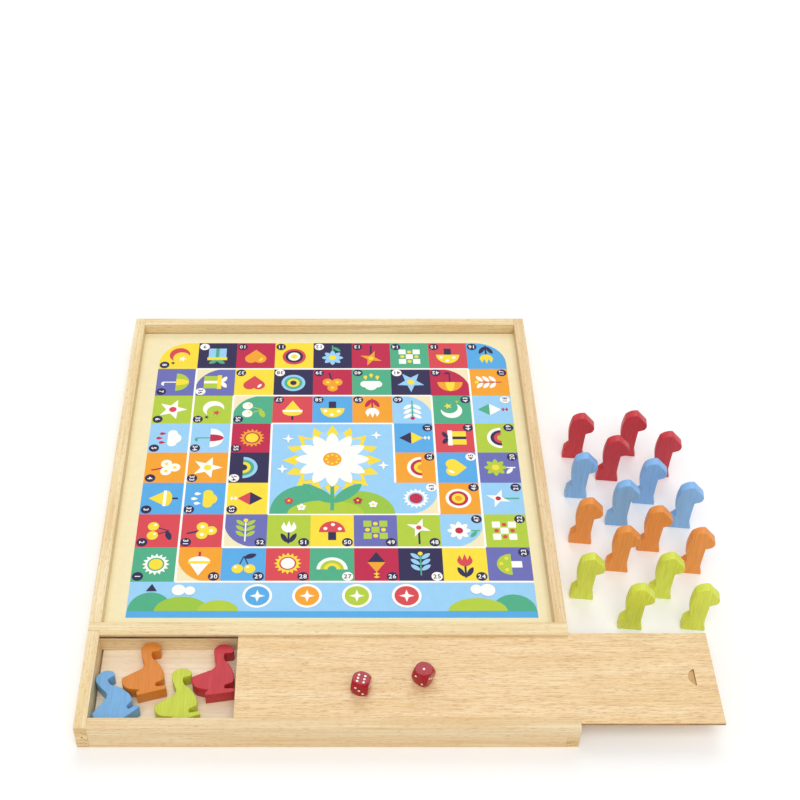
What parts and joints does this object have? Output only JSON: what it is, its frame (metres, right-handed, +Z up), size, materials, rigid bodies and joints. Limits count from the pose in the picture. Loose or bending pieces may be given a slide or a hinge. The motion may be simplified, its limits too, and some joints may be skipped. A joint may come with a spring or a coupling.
{
  "type": "ludo and goose game board",
  "caption": "Double-sided wooden race-game board in a rail frame, with a storage compartment under a sliding lid and loose horse pawns, goose pawns and dice.",
  "frame": {"origin": "middle of the cross rail's underside, on the surface that the board lies on", "axes": "+X to the right, the way the lid is drawn out; +Y from the compartment towards the back rail; +Z up, out of the goose face"},
  "size_m": [0.4024, 0.3702, 0.0405],
  "materials": {
    "beech": "planed, clear matt lacquer",
    "printed_board": "thin board, printed both faces, satin",
    "floor_plywood": "sanded plywood",
    "lid_wood": "sanded, clear matt lacquer",
    "paint_red": "stained and lacquered, satin",
    "paint_blue": "stained and lacquered, satin",
    "paint_orange": "stained and lacquered, satin",
    "paint_lime": "stained and lacquered, satin",
    "red_acrylic": "clear tinted, polished"
  },
  "bodies": {
    "frame": {"board_side_rail_left": "beech", "board_side_rail_right": "beech", "back_rail": "beech", "cross_rail": "beech", "front_rail": "beech", "left_end_rail": "beech", "low_end_rail": "beech", "game_panel": "printed_board", "compartment_floor": "floor_plywood"},
    "lid": {"sliding_lid": "lid_wood"},
    "die_left": {"die_left": "red_acrylic"},
    "die_right": {"die_right": "red_acrylic"},
    "goose_blue": {"goose_blue": "paint_blue"},
    "goose_orange": {"goose_orange": "paint_orange"},
    "goose_lime": {"goose_lime": "paint_lime"},
    "goose_red": {"goose_red": "paint_red"},
    "horse_red_1": {"horse_red_1": "paint_red"},
    "horse_red_2": {"horse_red_2": "paint_red"},
    "horse_red_3": {"horse_red_3": "paint_red"},
    "horse_red_4": {"horse_red_4": "paint_red"},
    "horse_blue_1": {"horse_blue_1": "paint_blue"},
    "horse_blue_2": {"horse_blue_2": "paint_blue"},
    "horse_blue_3": {"horse_blue_3": "paint_blue"},
    "horse_blue_4": {"horse_blue_4": "paint_blue"},
    "horse_orange_1": {"horse_orange_1": "paint_orange"},
    "horse_orange_2": {"horse_orange_2": "paint_orange"},
    "horse_orange_3": {"horse_orange_3": "paint_orange"},
    "horse_orange_4": {"horse_orange_4": "paint_orange"},
    "horse_lime_1": {"horse_lime_1": "paint_lime"},
    "horse_lime_2": {"horse_lime_2": "paint_lime"},
    "horse_lime_3": {"horse_lime_3": "paint_lime"},
    "horse_lime_4": {"horse_lime_4": "paint_lime"}
  },
  "joints": [
    {"name": "lid_slide", "type": "slide", "parent": "frame", "child": "lid", "axis": [1, 0, 0], "range_m": [-0.0862, 0.178]},
    {"name": "die_left_lift", "type": "slide", "parent": "lid", "child": "die_left", "axis": [0, 0, 1], "range_m": [0, 0.05]},
    {"name": "die_right_lift", "type": "slide", "parent": "lid", "child": "die_right", "axis": [0, 0, 1], "range_m": [0, 0.05]},
    {"name": "goose_blue_lift", "type": "slide", "parent": "frame", "child": "goose_blue", "axis": [0, 0, 1], "range_m": [0, 0.0025]},
    {"name": "goose_orange_lift", "type": "slide", "parent": "frame", "child": "goose_orange", "axis": [0, 0, 1], "range_m": [0, 0.0025]},
    {"name": "goose_lime_lift", "type": "slide", "parent": "frame", "child": "goose_lime", "axis": [0, 0, 1], "range_m": [0, 0.0025]},
    {"name": "goose_red_lift", "type": "slide", "parent": "frame", "child": "goose_red", "axis": [0, 0, 1], "range_m": [0, 0.0025]},
    {"name": "horse_red_1_lift", "type": "slide", "parent": "frame", "child": "horse_red_1", "axis": [0, 0, 1], "range_m": [0, 0.05]},
    {"name": "horse_red_2_lift", "type": "slide", "parent": "frame", "child": "horse_red_2", "axis": [0, 0, 1], "range_m": [0, 0.05]},
    {"name": "horse_red_3_lift", "type": "slide", "parent": "frame", "child": "horse_red_3", "axis": [0, 0, 1], "range_m": [0, 0.05]},
    {"name": "horse_red_4_lift", "type": "slide", "parent": "frame", "child": "horse_red_4", "axis": [0, 0, 1], "range_m": [0, 0.05]},
    {"name": "horse_blue_1_lift", "type": "slide", "parent": "frame", "child": "horse_blue_1", "axis": [0, 0, 1], "range_m": [0, 0.05]},
    {"name": "horse_blue_2_lift", "type": "slide", "parent": "frame", "child": "horse_blue_2", "axis": [0, 0, 1], "range_m": [0, 0.05]},
    {"name": "horse_blue_3_lift", "type": "slide", "parent": "frame", "child": "horse_blue_3", "axis": [0, 0, 1], "range_m": [0, 0.05]},
    {"name": "horse_blue_4_lift", "type": "slide", "parent": "frame", "child": "horse_blue_4", "axis": [0, 0, 1], "range_m": [0, 0.05]},
    {"name": "horse_orange_1_lift", "type": "slide", "parent": "frame", "child": "horse_orange_1", "axis": [0, 0, 1], "range_m": [0, 0.05]},
    {"name": "horse_orange_2_lift", "type": "slide", "parent": "frame", "child": "horse_orange_2", "axis": [0, 0, 1], "range_m": [0, 0.05]},
    {"name": "horse_orange_3_lift", "type": "slide", "parent": "frame", "child": "horse_orange_3", "axis": [0, 0, 1], "range_m": [0, 0.05]},
    {"name": "horse_orange_4_lift", "type": "slide", "parent": "frame", "child": "horse_orange_4", "axis": [0, 0, 1], "range_m": [0, 0.05]},
    {"name": "horse_lime_1_lift", "type": "slide", "parent": "frame", "child": "horse_lime_1", "axis": [0, 0, 1], "range_m": [0, 0.05]},
    {"name": "horse_lime_2_lift", "type": "slide", "parent": "frame", "child": "horse_lime_2", "axis": [0, 0, 1], "range_m": [0, 0.05]},
    {"name": "horse_lime_3_lift", "type": "slide", "parent": "frame", "child": "horse_lime_3", "axis": [0, 0, 1], "range_m": [0, 0.05]},
    {"name": "horse_lime_4_lift", "type": "slide", "parent": "frame", "child": "horse_lime_4", "axis": [0, 0, 1], "range_m": [0, 0.05]}
  ]
}
